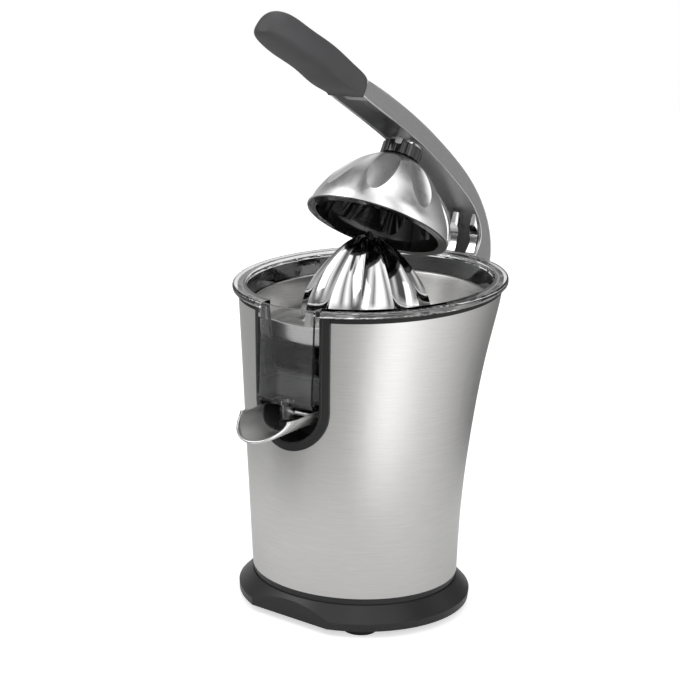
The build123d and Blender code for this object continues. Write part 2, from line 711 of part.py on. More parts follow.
def make_cone():
    """Ribbed hollow steel cone, its core with a hex socket, and the centring pin."""
    place = Pos(0, AXIS_Y, 0)
    solid = loft([ribbed_section(r, CONE_BASE + z) for r, z in CONE_FORM])
    hollow = loft([ribbed_section(r - CONE_T, CONE_BASE + z) for r, z in CONE_FORM[:CONE_HOLLOW]])
    pin_low = CONE_BASE + PIN_FORM[0][1]
    pin_form = [(r, CONE_BASE + z) for r, z in PIN_FORM]
    pin = turned((0, pin_low), *pin_form, (0, CONE_BASE + PIN_TIP))
    plate_r = (1 - CONE_GROOVE) * (CONE_FORM[1][0] - CONE_T) - CONE_T
    core = disc(plate_r, CONE_BASE, CONE_BASE + CORE_PLATE_T) + disc(CORE_R, CONE_BASE, CORE_TOP)
    socket = Pos(0, 0, CONE_BASE) * extrude(hexagon(SEAT), SHAFT_TOP + SEAT - CONE_BASE)
    wide = disc(SHAFT_R + RUN_FIT, CONE_BASE, HEX_LOW + SEAT)
    core = core - socket - wide
    nodes["reamer_cone"] = place * (solid - hollow - disc(CORE_R, CONE_BASE, CORE_TOP) - pin)
    nodes["cone_core"] = place * core
    nodes["cone_pin"] = place * pin


def hexagon(gap):
    """Hex section of the shaft end, grown by a gap."""
    corner_r = (HEX_FLATS / 2 + gap) / cos(radians(30))
    return RegularPolygon(corner_r, 6)


def make_spindle():
    """Drive shaft with its thrust flange and hex end, and the output gear."""
    place = Pos(0, AXIS_Y, 0)
    shaft = disc(SHAFT_R, SHAFT_LOW, HEX_LOW)
    shaft = shaft + disc(COLLAR_FLANGE_R, COLLAR_SEAT, COLLAR_SEAT + COLLAR_FLANGE_H)
    shaft = shaft + Pos(0, 0, HEX_LOW) * extrude(hexagon(0), SHAFT_TOP - HEX_LOW)
    nodes["drive_shaft"] = place * shaft
    nodes["output_gear"] = gear(OUT_MODULE, OUT_TEETH, OUT_GEAR_Z, 0, AXIS_Y, SHAFT_R, IDLER_ANGLE)


# ---------------------------------------------------------------- gear train and motor
def make_gears():
    """Compound idler on its axle and the motor pinion."""
    small_phase = IDLER_ANGLE + 180 + 180 / IDLER_SMALL
    small = gear(OUT_MODULE, IDLER_SMALL, SMALL_GEAR_Z, IDLER_X, IDLER_Y, AXLE_R + RUN_FIT, small_phase)
    large = gear(PIN_MODULE, IDLER_LARGE, LARGE_GEAR_Z, IDLER_X, IDLER_Y, AXLE_R + RUN_FIT, MOTOR_ANGLE)
    nodes["idler_gear"] = small + large
    pinion_phase = MOTOR_ANGLE + 180 + 180 / PINION_TEETH
    nodes["motor_pinion"] = gear(
        PIN_MODULE, PINION_TEETH, PINION_Z, MOTOR_X, MOTOR_Y, ROTOR_SHAFT_R, pinion_phase
    )
    nodes["idler_axle"] = disc(AXLE_R, LOW_PLATE_Z, PLATE_TOP, IDLER_X, IDLER_Y)


def make_plates():
    """Two gear plates, the posts between them and the bushes."""
    tub_in = TUB_R - TUB_T
    low = disc(tub_in, LOW_PLATE_Z, LOW_PLATE_Z + PLATE_T, 0, AXIS_Y)
    high = disc(tub_in, HIGH_PLATE_Z, PLATE_TOP, 0, AXIS_Y)
    bush_low = bush(LOW_PLATE_Z, PLATE_T, 0, AXIS_Y, SHAFT_R, BUSH_R)
    bush_mid = bush(HIGH_PLATE_Z, PLATE_T, 0, AXIS_Y, SHAFT_R, BUSH_R)
    bush_motor = bush(LOW_PLATE_Z, PLATE_T, MOTOR_X, MOTOR_Y, ROTOR_SHAFT_R, BUSH_R / 2)
    top_bush = ring(BUSH_R, SHAFT_R + RUN_FIT, TUB_TOP, TUB_BOSS_TOP - BUSH_FLANGE, 0, AXIS_Y)
    axle = nodes["idler_axle"]
    seat = disc(BUSH_R, 0, FAR, 0, AXIS_Y)
    motor_seat = disc(BUSH_R / 2, 0, FAR, MOTOR_X, MOTOR_Y)
    nodes["gear_plate_low"] = low - axle - seat - motor_seat
    nodes["gear_plate_high"] = high - axle - seat
    nodes["plate_bushes"] = joined([bush_low, bush_mid, bush_motor])
    nodes["top_bush"] = top_bush
    posts = []
    for angle in POST_ANGLES:
        x = POST_AT * cos(radians(angle))
        y = AXIS_Y + POST_AT * sin(radians(angle))
        posts.append(disc(POST_R, LOW_PLATE_Z + PLATE_T, HIGH_PLATE_Z, x, y))
    nodes["plate_posts"] = joined(posts)


def bush(low, height, x, y, shaft_r, outer_r):
    """Plain bearing bush for a shaft."""
    return ring(outer_r, shaft_r + RUN_FIT, low, low + height, x, y)


def make_chassis():
    """Inner tub that carries the gear plates and the upper bush."""
    tub_in = TUB_R - TUB_T
    wall = disc(TUB_R, DECK_Z, TUB_TOP + TUB_TOP_T) - disc(tub_in, LOW_PLATE_Z, TUB_TOP)
    wall = wall - disc(tub_in - TUB_T / 2, DECK_Z, LOW_PLATE_Z)
    boss = disc(TUB_BOSS_R, TUB_TOP, TUB_BOSS_TOP)
    tub = wall + boss - disc(BUSH_R, TUB_TOP, TUB_BOSS_TOP - BUSH_FLANGE)
    tub = tub - disc(SHAFT_R + SLIP, TUB_TOP, FAR)
    nodes["chassis_tub"] = Pos(0, AXIS_Y, 0) * tub
    seal_top = TUB_BOSS_TOP + 2 * BUSH_FLANGE
    seal = ring(SHAFT_R + 2 * BUSH_FLANGE, SHAFT_R + RUN_FIT, TUB_BOSS_TOP, seal_top)
    nodes["shaft_seal"] = Pos(0, AXIS_Y, 0) * seal


def make_motor():
    """Motor can, stator, rotor core and rotor shaft."""
    can_in = CAN_R - CAN_T
    can_top = DECK_Z + CAN_H
    can = disc(CAN_R, DECK_Z, can_top) - disc(can_in, DECK_Z + CAN_T, can_top)
    foot_bush = disc(BUSH_R, DECK_Z, DECK_Z + 2 * CAN_T)
    can = can + foot_bush - disc(ROTOR_SHAFT_R + RUN_FIT, DECK_Z + CAN_T / 2, FAR)
    place = Pos(MOTOR_X, MOTOR_Y, 0)
    nodes["motor_can"] = place * can
    nodes["motor_stator"] = place * ring(can_in, ROTOR_R + AIR_GAP, *STATOR_Z)
    nodes["rotor_core"] = place * ring(ROTOR_R, ROTOR_SHAFT_R, *STATOR_Z)
    nodes["rotor_shaft"] = place * disc(ROTOR_SHAFT_R, DECK_Z + CAN_T / 2 + SEAT, PINION_Z[1])


def make_switch():
    """Thrust ring with a switch finger, its spring and the start switch."""
    place = Pos(0, AXIS_Y, 0)
    top = PLUNGER_Z + PLUNGER_T
    finger_x = (SWITCH_X[0] + SWITCH_X[1]) / 2
    body = disc(PLUNGER_R, PLUNGER_Z, top)
    arm = block((0, PLUNGER_ARM), (-PLUNGER_ARM_HALF, PLUNGER_ARM_HALF), (PLUNGER_Z, top))
    finger_end = SWITCH_TOP + BUTTON_H + PRESS_TRAVEL + SEAT
    finger = disc(BUTTON_R * 2, finger_end, PLUNGER_Z, finger_x, 0)
    nodes["switch_plunger"] = place * (body + arm + finger - disc(SHAFT_R + RUN_FIT, 0, FAR))
    case = block(SWITCH_X, (-SWITCH_HALF, SWITCH_HALF), (PLATE_TOP, SWITCH_TOP))
    button = disc(BUTTON_R, SWITCH_TOP, SWITCH_TOP + BUTTON_H, finger_x, 0)
    nodes["microswitch"] = place * (case + button)
    spring = coil(SPRING_R, SPRING_WIRE, SPRING_H, SPRING_TURNS)
    nodes["return_spring"] = place * Pos(0, 0, PLATE_TOP) * spring


# ---------------------------------------------------------------- spout
def spout_solid(inset, floor):
    """Flared scoop with a round tip, drawn in from the outside by an inset."""
    half = SPOUT_HALF - inset
    tip = SPOUT_TIP + inset
    rear = SPOUT_REAR - inset
    top = SPOUT_Z + SPOUT_RIM[0][1]
    centre = tip + half
    sides = Polyline((-half, centre), (-half, rear), (half, rear), (half, centre))
    face = make_face(sides + ThreePointArc((half, centre), (0, tip), (-half, centre)))
    scoop = Pos(0, 0, top) * extrude(face, top - floor, dir=(0, 0, -1), taper=SPOUT_FLARE)
    low_edges = scoop.edges().group_by(Axis.Z)[0]
    return fillet(low_edges, SPOUT_ROUND)


def make_spout():
    """Tilting drip-stop scoop with its pivot eye, pad and pin."""
    shell = spout_solid(0, SPOUT_Z) - spout_solid(SPOUT_T, SPOUT_Z + SPOUT_T)
    rim_points = [(y - FLANGE_R, SPOUT_Z + z) for y, z in SPOUT_RIM]
    rim_line = Spline(*rim_points)
    first = rim_points[0]
    last = rim_points[-1]
    over = make_face(rim_line + Polyline(last, (last[0], FAR), (first[0], FAR), first))
    shell = shell - side_plate(over, -FAR / 4, FAR / 4)
    eye = rod_x(SPOUT_EYE_R, -SPOUT_EYE_HALF, SPOUT_EYE_HALF, SPOUT_PIN_Y, SPOUT_PIN_Z)
    bore = rod_x(SPOUT_PIN_R + RUN_FIT, -FAR / 4, FAR / 4, SPOUT_PIN_Y, SPOUT_PIN_Z)
    nodes["drip_spout"] = shell + eye - bore
    pad = disc(PAD_R, SPOUT_Z, PAD_TOP, 0, NOZZLE_Y)
    nodes["spout_pad"] = pad & spout_solid(SPOUT_T, SPOUT_Z + SPOUT_T)
    reach = SLOT_INNER + POCKET_T
    nodes["spout_pin"] = rod_x(SPOUT_PIN_R, -reach, reach, SPOUT_PIN_Y, SPOUT_PIN_Z)


# ---------------------------------------------------------------- hinge
def make_hinge():
    """Bracket on the steel wall, its screws, the pin and two friction washers."""
    wall = body_form(SEAT)
    bracket_z = [HINGE_Z + rise for rise in BRACKET_SPAN]
    plate = (body_form(BRACKET_T) - wall) & block((-BRACKET_HALF, BRACKET_HALF), (0, FAR), bracket_z)
    low = (HINGE_Y, HINGE_Z - EAR_R)
    high = (HINGE_Y, HINGE_Z + EAR_R)
    root_low = (HINGE_Y / 2, HINGE_Z + EAR_SPAN[0])
    root_high = (HINGE_Y / 2, HINGE_Z + EAR_SPAN[1])
    sides = Polyline(high, root_high, root_low, low)
    face = make_face(sides + ThreePointArc(low, (HINGE_Y + EAR_R, HINGE_Z), high))
    ears = [side_plate(face, EAR_IN, EAR_OUT) - wall, side_plate(face, -EAR_OUT, -EAR_IN) - wall]
    bracket = plate + ears - rod_x(HINGE_PIN_R, -FAR / 4, FAR / 4, HINGE_Y, HINGE_Z)
    screws = []
    for x, rise in BRACKET_SCREWS:
        z = HINGE_Z + rise
        surface = body_y(z) + ((body_r(z) + BRACKET_T) ** 2 - x ** 2) ** 0.5
        for side in (-x, x):
            turn = degrees(side / surface)
            place = Pos(side, surface, z) * Rot(-90, 0, 0) * Rot(0, turn, 0)
            screws.append(screw(place, SCREW_L / 2))
    screws = joined(screws)
    nodes["bracket_screws"] = screws
    nodes["hinge_bracket"] = bracket - screws
    nodes["housing_shell"] = nodes["housing_shell"] - screws
    shank = rod_x(HINGE_PIN_R, -EAR_OUT, EAR_OUT, HINGE_Y, HINGE_Z)
    heads = [
        rod_x(PIN_HEAD_R, EAR_OUT, EAR_OUT + PIN_HEAD_T, HINGE_Y, HINGE_Z),
        rod_x(PIN_HEAD_R, -EAR_OUT - PIN_HEAD_T, -EAR_OUT, HINGE_Y, HINGE_Z),
    ]
    nodes["hinge_pin"] = shank + heads
    washers = [
        rod_x(WASHER_R, ARM_HALF + SEAT, EAR_IN - SEAT, HINGE_Y, HINGE_Z),
        rod_x(WASHER_R, SEAT - EAR_IN, -ARM_HALF - SEAT, HINGE_Y, HINGE_Z),
    ]
    bore = rod_x(HINGE_PIN_R, -FAR / 4, FAR / 4, HINGE_Y, HINGE_Z)
    nodes["hinge_washers"] = joined(washers) - bore


# ---------------------------------------------------------------- lever arm
def arm_face():
    """Side outline of the curved arm with a round lug at the hinge."""
    outer = Spline(*ARM_OUTER)
    lug = ThreePointArc(ARM_OUTER[-1], (-LUG_R, 0), LUG_TOP)
    inner = Spline(LUG_TOP, *ARM_INNER)
    end = Line(ARM_INNER[-1], ARM_OUTER[0])
    return make_face(outer + lug + inner + end)


def make_arm():
    """Channel-section arm, knuckle tube, two legs and the grip tang."""
    face = arm_face()
    inner_face = Pos(*WEB_SHIFT, 0) * face
    arm = arm_plate(face, -ARM_HALF, ARM_HALF)
    channel = arm_plate(inner_face, -CHEEK_IN, CHEEK_IN)
    channel = channel + rod_x(LUG_R + ARM_SKIN, -CHEEK_IN, CHEEK_IN, HINGE_Y, HINGE_Z)
    bore = rod_x(HINGE_PIN_R + RUN_FIT, -FAR / 4, FAR / 4, HINGE_Y, HINGE_Z)
    arm = arm - channel - bore
    knuckle = rod_x(KNUCKLE_R, -CHEEK_IN, CHEEK_IN, HINGE_Y, HINGE_Z) - bore
    legs = []
    for x in (-LEG_X, LEG_X):
        leg = HINGE * Pos(x, 0, 0) * Rot(-LEG_LEAN, 0, 0) * Cylinder(LEG_R, LEG_L, align=UP_MIN)
        legs.append(leg)
    legs = joined(legs) - rod_x(KNUCKLE_R, -ARM_HALF, ARM_HALF, HINGE_Y, HINGE_Z)
    legs = legs & arm_plate(inner_face, -CHEEK_IN, CHEEK_IN)
    start = (ARM_OUTER[0][0] + ARM_INNER[-1][0]) / 2
    height = (ARM_OUTER[0][1] + ARM_INNER[-1][1]) / 2
    seated = (Align.CENTER, Align.MAX, Align.CENTER)
    tang_box = Box(2 * TANG_HALF, TANG_L + TANG_BACK, TANG_T, align=seated)
    lean = GRIP_FORM[0][-1]
    tang = HINGE * Pos(0, start, height) * Rot(-lean, 0, 0) * Pos(0, TANG_BACK, 0) * tang_box
    tang = tang - arm
    nodes["lever_arm"] = arm
    nodes["arm_knuckle"] = knuckle
    nodes["arm_legs"] = legs
    nodes["grip_tang"] = tang


def grip_section(y, z, half, rise, sag, power, tilt):
    """Rounded section of the grip, square across its axis."""
    points = []
    for i in range(GRIP_POINTS):
        angle = 2 * pi * i / GRIP_POINTS
        c = cos(angle)
        s = sin(angle)
        u = abs(s) ** (2 / power) * (rise if s > 0 else -sag)
        x = half * (abs(c) ** (2 / power)) * (1 if c > 0 else -1)
        points.append((x, u))
    up = (0, sin(radians(tilt)), cos(radians(tilt)))
    plane = Plane(origin=(0, y, z), x_dir=(1, 0, 0), z_dir=(0, -up[2], up[1]))
    return plane * make_face(Spline(*points, periodic=True))


def make_grip():
    """Soft grip lofted through rounded sections, socketed over the tang."""
    grip = HINGE * loft([grip_section(*form) for form in GRIP_FORM])
    nodes["lever_grip"] = grip - nodes["grip_tang"] - nodes["lever_arm"]


# ---------------------------------------------------------------- press dome
def dome_point(turn, offset=0.0):
    """Radius and height of the dome's flank at a turn from its foot to its top."""
    share = 2 / DOME_SQUARE
    radius = (DOME_R - offset) * cos(radians(turn)) ** share
    rise = (DOME_H - DOME_FOOT - offset) * sin(radians(turn)) ** share
    return radius, DOME_FOOT + rise


def dome_solid(offset, skirt=0.0):
    """Solid half-egg about the local Z axis, drawn in by an offset, on a straight skirt."""
    radius = DOME_R - offset
    form = [dome_point(turn, offset) for turn in range(0, 90, DOME_STEP)]
    form.append((0, DOME_H - offset))
    flank = Spline(*form, tangents=((0, 1), (-1, 0)))
    base = Polyline(form[-1], (0, 0), (radius, 0), form[0])
    egg = revolve(Plane.XZ * make_face(flank + base), Axis.Z)
    return egg + disc(radius, -skirt, 0) if skirt else egg


def flute_cutters(offset):
    """Straight rods laid along the flank, grown by an offset; each leaves one petal."""
    low_r, low_z = dome_point(FLUTE_LOW)
    mid_r, mid_z = dome_point(FLUTE_MID)
    high_r, high_z = dome_point(degrees(acos((COLLAR_R / DOME_R) ** (DOME_SQUARE / 2))))
    rise = high_z - low_z
    lean = degrees(acos(rise / (rise ** 2 + (low_r - high_r) ** 2) ** 0.5))
    reach = FLUTE_R - FLUTE_DEPTH
    centre_r = mid_r + reach * cos(radians(lean))
    centre_z = mid_z + reach * sin(radians(lean))
    rod = Pos(centre_r, 0, centre_z) * Rot(0, -lean, 0) * Cylinder(FLUTE_R + offset, FAR / 2)
    return [Rot(0, 0, 360 * (i + 0.5) / FLUTES) * rod for i in range(FLUTES)]


def dome_slab(low, high):
    """Level slab across the dome between two heights on its own axis."""
    return Pos(0, 0, low) * Box(FAR, FAR, high - low, align=UP_MIN)


def make_dome():
    """Fluted steel dome with a turned lip, dark inner lip, fluted ribbed liner and boss."""
    place = DOME.location
    under = dome_slab(-DOME_SKIRT, 0)
    outer = dome_solid(0, DOME_SKIRT) - flute_cutters(0) - under
    inner = dome_solid(DOME_T, DOME_SKIRT) - flute_cutters(DOME_T)
    dome_in = DOME_R - DOME_T
    lip_r = DOME_R + DOME_LIP
    lip = turned((dome_in, 0), (lip_r, 0), (lip_r, DOME_LIP_H), (dome_in, DOME_FOOT))
    dome = outer - inner - dome_slab(DOME_TOP, FAR)
    dome = dome + (outer & dome_slab(LINER_TOP, DOME_TOP)) + lip
    nodes["press_dome"] = place * dome

    liner_out = dome_solid(LINER_GAP) - flute_cutters(LINER_GAP) - dome_slab(LINER_TOP, FAR)
    liner_in = dome_solid(LINER_GAP + LINER_T, DOME_SKIRT) - flute_cutters(LINER_GAP + LINER_T)
    liner_in = liner_in - dome_slab(LINER_TOP - LINER_T, FAR)
    rib_core = dome_solid(LINER_GAP + LINER_T + LINER_RIB_H, DOME_SKIRT)
    rib = (liner_in & Box(FAR, RIB_T, FAR)) - rib_core - under
    ribs = [Rot(0, 0, 360 * i / LINER_RIBS) * rib for i in range(LINER_RIBS // 2)]
    liner = liner_out - liner_in
    nodes["dome_liner"] = place * joined([liner, *ribs])
    trim = ring(dome_in, DOME_R - LINER_GAP, -LINER_T / 2, LINER_T)
    trim = trim + ring(lip_r - SLIP, DOME_R - LINER_GAP - LINER_T, -LINER_T / 2, 0)
    nodes["dome_trim"] = place * trim

    arm_inside = arm_plate(Pos(*WEB_SHIFT, 0) * arm_face(), -CHEEK_IN, CHEEK_IN)
    boss_form = [(radius, COLLAR_TOP + rise) for radius, rise in BOSS_FORM]
    boss = turned((0, boss_form[0][1]), *boss_form, (0, boss_form[-1][1]))
    boss = place * (boss + disc(STEM_R, DOME_TOP, boss_form[0][1]))
    above = arm_plate(arm_face(), -ARM_HALF, ARM_HALF) - arm_inside
    nodes["dome_boss"] = keep_low(boss - above)
    collar = disc(COLLAR_R - COLLAR_RIB_R / 2, COLLAR_LOW, COLLAR_TOP)
    for i in range(COLLAR_RIBS):
        angle = radians(360 * i / COLLAR_RIBS)
        reach = COLLAR_R - COLLAR_RIB_R
        rib = disc(COLLAR_RIB_R, COLLAR_LOW, COLLAR_TOP, reach * cos(angle), reach * sin(angle))
        collar = collar + rib
    nodes["release_collar"] = place * (collar - disc(STEM_R + RUN_FIT, 0, FAR))


def keep_low(shape):
    """The lowest solid of a cut shape."""
    return shape.solids().sort_by(Axis.Z)[0]


def make_all():
    """Build every node in dependency order."""
    make_base()
    make_housing()
    make_collector()
    make_sieve()
    make_cone()
    make_spindle()
    make_gears()
    make_plates()
    make_chassis()
    make_motor()
    make_switch()
    make_spout()
    make_hinge()
    make_arm()
    make_grip()
    make_dome()


make_all()
os.makedirs("parts", exist_ok=True)
for name, shape in nodes.items():
    export_step(shape, f"parts/{name}.step")
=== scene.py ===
import json
import math

import bmesh
import bpy
from mathutils import Matrix, Vector


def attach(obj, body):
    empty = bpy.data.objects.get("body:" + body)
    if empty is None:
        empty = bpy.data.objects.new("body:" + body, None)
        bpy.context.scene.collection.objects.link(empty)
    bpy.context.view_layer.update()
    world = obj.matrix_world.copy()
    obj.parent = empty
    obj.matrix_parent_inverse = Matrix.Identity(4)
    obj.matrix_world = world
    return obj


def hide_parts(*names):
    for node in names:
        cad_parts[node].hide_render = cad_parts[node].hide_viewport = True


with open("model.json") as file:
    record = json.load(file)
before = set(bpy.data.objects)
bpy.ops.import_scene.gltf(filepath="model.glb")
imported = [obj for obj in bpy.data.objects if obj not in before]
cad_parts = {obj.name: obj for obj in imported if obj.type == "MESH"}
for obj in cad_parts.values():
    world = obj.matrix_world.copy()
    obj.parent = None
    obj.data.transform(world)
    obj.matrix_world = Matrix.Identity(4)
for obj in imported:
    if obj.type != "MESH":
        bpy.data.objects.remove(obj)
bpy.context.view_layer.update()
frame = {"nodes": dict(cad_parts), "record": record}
NODES = frame["nodes"]
MM = 0.001

# ---------------------------------------------------------------- camera
CAM_AZIMUTH = 34.97
CAM_HEIGHT = 9.24
CAM_DISTANCE = 0.950
CAM_YAW = 0.97
CAM_PITCH = 2.56
CAM_ROLL = 2.11
CAM_AIM = Vector((0, -4.5 * MM, 222.5 * MM))
CAM_FOCAL_PX = 1425.68
PICTURE_PX = 680
SENSOR = 36.0
CLIP_NEAR = 0.05
CLIP_FAR = 50


def backward(azimuth, height):
    """Direction from the aim to the camera."""
    a = math.radians(azimuth)
    e = math.radians(height)
    return Vector((math.sin(a) * math.cos(e), -math.cos(a) * math.cos(e), math.sin(e)))


def add_camera():
    place = CAM_AIM + backward(CAM_AZIMUTH, CAM_HEIGHT) * CAM_DISTANCE
    back = backward(CAM_AZIMUTH + CAM_YAW, CAM_HEIGHT + CAM_PITCH)
    turn = math.radians(CAM_AZIMUTH + CAM_YAW)
    right = Vector((math.cos(turn), math.sin(turn), 0))
    up = back.cross(right)
    roll = math.radians(CAM_ROLL)
    right_rolled = right * math.cos(roll) + up * math.sin(roll)
    up_rolled = up * math.cos(roll) - right * math.sin(roll)
    data = bpy.data.cameras.new("camera")
    data.sensor_width = SENSOR
    data.lens = SENSOR * CAM_FOCAL_PX / PICTURE_PX
    data.clip_start = CLIP_NEAR
    data.clip_end = CLIP_FAR
    camera = bpy.data.objects.new("camera", data)
    bpy.context.scene.collection.objects.link(camera)
    rows = Matrix((right_rolled, up_rolled, back)).transposed()
    camera.matrix_world = Matrix.Translation(place) @ rows.to_4x4()
    bpy.context.scene.camera = camera


# ---------------------------------------------------------------- materials
# where the dark and the light colour of a noise ramp stand
DARK_AT = 0.3
LIGHT_AT = 0.7
# depth of the surface marks in millimetres
GRAIN_DEPTH = 0.05
HAIRLINE_DEPTH = 0.03
BUFF_DEPTH = 0.02
SAND_DEPTH = 0.06
FLOW_DEPTH = 0.2
CLEAR_IOR = 1.49
COAT_ROUGH = 0.08
# colour of the painted shade on the inward-facing faces of the housing shell
INSIDE_SHADE_PAINT = (0.02, 0.02, 0.02, 1)


class Nodes:
    """Short way to build a node tree."""

    def __init__(self, material, clear=True):
        self.tree = material.node_tree
        if clear:
            self.tree.nodes.clear()

    def add(self, kind, **settings):
        node = self.tree.nodes.new("ShaderNode" + kind)
        for key, value in settings.items():
            setattr(node, key, value)
        return node

    def link(self, source, target):
        self.tree.links.new(source, target)

    def ramp(self, source, stops, interpolation="LINEAR"):
        node = self.add("ValToRGB")
        node.color_ramp.interpolation = interpolation
        elements = node.color_ramp.elements
        while len(elements) < len(stops):
            elements.new(0.5)
        for element, (position, value) in zip(elements, stops):
            element.position = position
            colour = value if isinstance(value, tuple) else (value, value, value)
            element.color = (*colour, 1)
        self.link(source, node.inputs[0])
        return node.outputs[0]

    def math(self, operation, a, b=None):
        node = self.add("Math", operation=operation)
        for socket, value in zip(node.inputs, (a, b)):
            if value is None:
                continue
            if isinstance(value, (int, float)):
                socket.default_value = value
            else:
                self.link(value, socket)
        return node.outputs[0]

    def spread(self, source, low, high):
        """Map 0..1 to low..high."""
        node = self.add("MapRange")
        node.inputs[3].default_value = low
        node.inputs[4].default_value = high
        self.link(source, node.inputs[0])
        return node.outputs[0]

    def noise(self, scale, detail=4.0, stretch=(1, 1, 1), rough=0.5):
        where = self.add("TexCoord")
        mapping = self.add("Mapping")
        mapping.inputs[3].default_value = stretch
        self.link(where.outputs["Object"], mapping.inputs[0])
        node = self.add("TexNoise")
        node.inputs["Scale"].default_value = scale
        node.inputs["Detail"].default_value = detail
        node.inputs["Roughness"].default_value = rough
        self.link(mapping.outputs[0], node.inputs["Vector"])
        return node.outputs[0]

    def bump(self, height, strength, distance):
        node = self.add("Bump")
        node.inputs["Strength"].default_value = strength
        node.inputs["Distance"].default_value = distance
        self.link(height, node.inputs["Height"])
        return node.outputs[0]


def new_material(name):
    material = bpy.data.materials.new(name)
    material.use_nodes = True
    nodes = Nodes(material)
    shader = nodes.add("BsdfPrincipled")
    output = nodes.add("OutputMaterial")
    nodes.link(shader.outputs[0], output.inputs[0])
    return material, nodes, shader


def set_shader(shader, **values):
    names = {
        "metal": "Metallic", "aniso": "Anisotropic", "ior": "IOR",
        "clear": "Transmission Weight", "coat": "Coat Weight", "coat_rough": "Coat Roughness",
    }
    for key, value in values.items():
        shader.inputs[names[key]].default_value = value


def plastic(name, colour, rough, grain=2200.0, bump=0.15, mottle=0.12, coat=0.0):
    """Moulded plastic with a fine spark-eroded grain and slight tone drift."""
    material, nodes, shader = new_material(name)
    drift = nodes.noise(18.0, 3.0)
    dark = tuple(c * (1 - mottle) for c in colour)
    light = tuple(min(1.0, c * (1 + mottle)) for c in colour)
    nodes.link(nodes.ramp(drift, ((DARK_AT, dark), (LIGHT_AT, light))), shader.inputs["Base Color"])
    fine = nodes.noise(grain, 2.0)
    nodes.link(nodes.spread(fine, rough * 0.85, min(1.0, rough * 1.15)), shader.inputs["Roughness"])
    nodes.link(nodes.bump(fine, bump, GRAIN_DEPTH * MM), shader.inputs["Normal"])
    set_shader(shader, coat=coat, coat_rough=COAT_ROUGH)
    return material


def brushed(name, colour, rough, stretch, aniso=0.6, bump=0.25, contrast=0.1):
    """Brushed metal whose hairlines run square to the stretched direction."""
    material, nodes, shader = new_material(name)
    lines = nodes.noise(1.0, 6.0, stretch, 0.7)
    dark = tuple(c * (1 - contrast) for c in colour)
    light = tuple(min(1.0, c * (1 + contrast)) for c in colour)
    nodes.link(nodes.ramp(lines, ((DARK_AT, dark), (LIGHT_AT, light))), shader.inputs["Base Color"])
    nodes.link(nodes.spread(lines, rough * 0.8, rough * 1.25), shader.inputs["Roughness"])
    nodes.link(nodes.bump(lines, bump, HAIRLINE_DEPTH * MM), shader.inputs["Normal"])
    set_shader(shader, metal=1.0, aniso=aniso)
    tangent = nodes.add("Tangent", direction_type="RADIAL", axis="Z")
    nodes.link(tangent.outputs[0], shader.inputs["Tangent"])
    return material


def paint_inside_shade(material, centre_y):
    """Paint the faces that look in towards the object's axis dark: painted shade inside the shell.
    """
    nodes = Nodes(material, clear=False)
    shader = next(n for n in nodes.tree.nodes if n.type == "BSDF_PRINCIPLED")
    steel = shader.inputs["Base Color"].links[0].from_socket
    where = nodes.add("TexCoord")
    out = nodes.add("VectorMath", operation="SUBTRACT")
    out.inputs[1].default_value = (0, centre_y * MM, 0)
    nodes.link(where.outputs["Object"], out.inputs[0])
    level = nodes.add("VectorMath", operation="MULTIPLY")
    level.inputs[1].default_value = (1, 1, 0)
    nodes.link(out.outputs[0], level.inputs[0])
    facing = nodes.add("VectorMath", operation="DOT_PRODUCT")
    nodes.link(level.outputs[0], facing.inputs[0])
    nodes.link(nodes.add("NewGeometry").outputs["True Normal"], facing.inputs[1])
    # faces that look outwards keep the steel; faces that look inwards get the painted shade colour
    outer = nodes.math("GREATER_THAN", facing.outputs["Value"], 0.0)
    mix = nodes.add("Mix", data_type="RGBA")
    nodes.link(outer, mix.inputs[0])
    mix.inputs[6].default_value = INSIDE_SHADE_PAINT
    nodes.link(steel, mix.inputs[7])
    nodes.link(mix.outputs[2], shader.inputs["Base Color"])
    return material


def polished(name, colour, rough, swirl=0.06, bump=0.08):
    """Polished metal with faint buffing marks."""
    material, nodes, shader = new_material(name)
    marks = nodes.noise(260.0, 5.0)
    drift = nodes.noise(22.0, 2.0)
    dark = tuple(c * (1 - swirl) for c in colour)
    nodes.link(nodes.ramp(drift, ((DARK_AT, dark), (LIGHT_AT, colour))), shader.inputs["Base Color"])
    nodes.link(nodes.spread(marks, rough * 0.7, rough * 1.4), shader.inputs["Roughness"])
    nodes.link(nodes.bump(marks, bump, BUFF_DEPTH * MM), shader.inputs["Normal"])
    set_shader(shader, metal=1.0)
    return material


def grained(name, colour, rough):
    """Cast or blasted metal with a sandy grain."""
    material, nodes, shader = new_material(name)
    sand = nodes.noise(2600.0, 3.0)
    cloud = nodes.noise(60.0, 3.0)
    dark = tuple(c * 0.78 for c in colour)
    light = tuple(min(1.0, c * 1.2) for c in colour)
    nodes.link(nodes.ramp(sand, ((0.32, dark), (0.68, light))), shader.inputs["Base Color"])
    nodes.link(nodes.spread(cloud, rough * 0.9, rough * 1.12), shader.inputs["Roughness"])
    nodes.link(nodes.bump(sand, 0.5, SAND_DEPTH * MM), shader.inputs["Normal"])
    set_shader(shader, metal=1.0)
    return material


def clear_plastic(name, colour, rough):
    """Smoky clear plastic."""
    material, nodes, shader = new_material(name)
    flow = nodes.noise(30.0, 2.0)
    dark = tuple(c * 0.94 for c in colour)
    nodes.link(nodes.ramp(flow, ((DARK_AT, dark), (LIGHT_AT, colour))), shader.inputs["Base Color"])
    nodes.link(nodes.spread(flow, rough * 0.6, rough * 1.4), shader.inputs["Roughness"])
    nodes.link(nodes.bump(flow, 0.06, FLOW_DEPTH * MM), shader.inputs["Normal"])
    set_shader(shader, clear=1.0, ior=CLEAR_IOR)
    return material


STEEL = (0.72, 0.715, 0.705)
LEVEL_LINES = (60, 60, 5200)
SIEVE_LINES = (60, 60, 4200)
SPOUT_LINES = (4200, 60, 60)
BODY_Y = -4.0


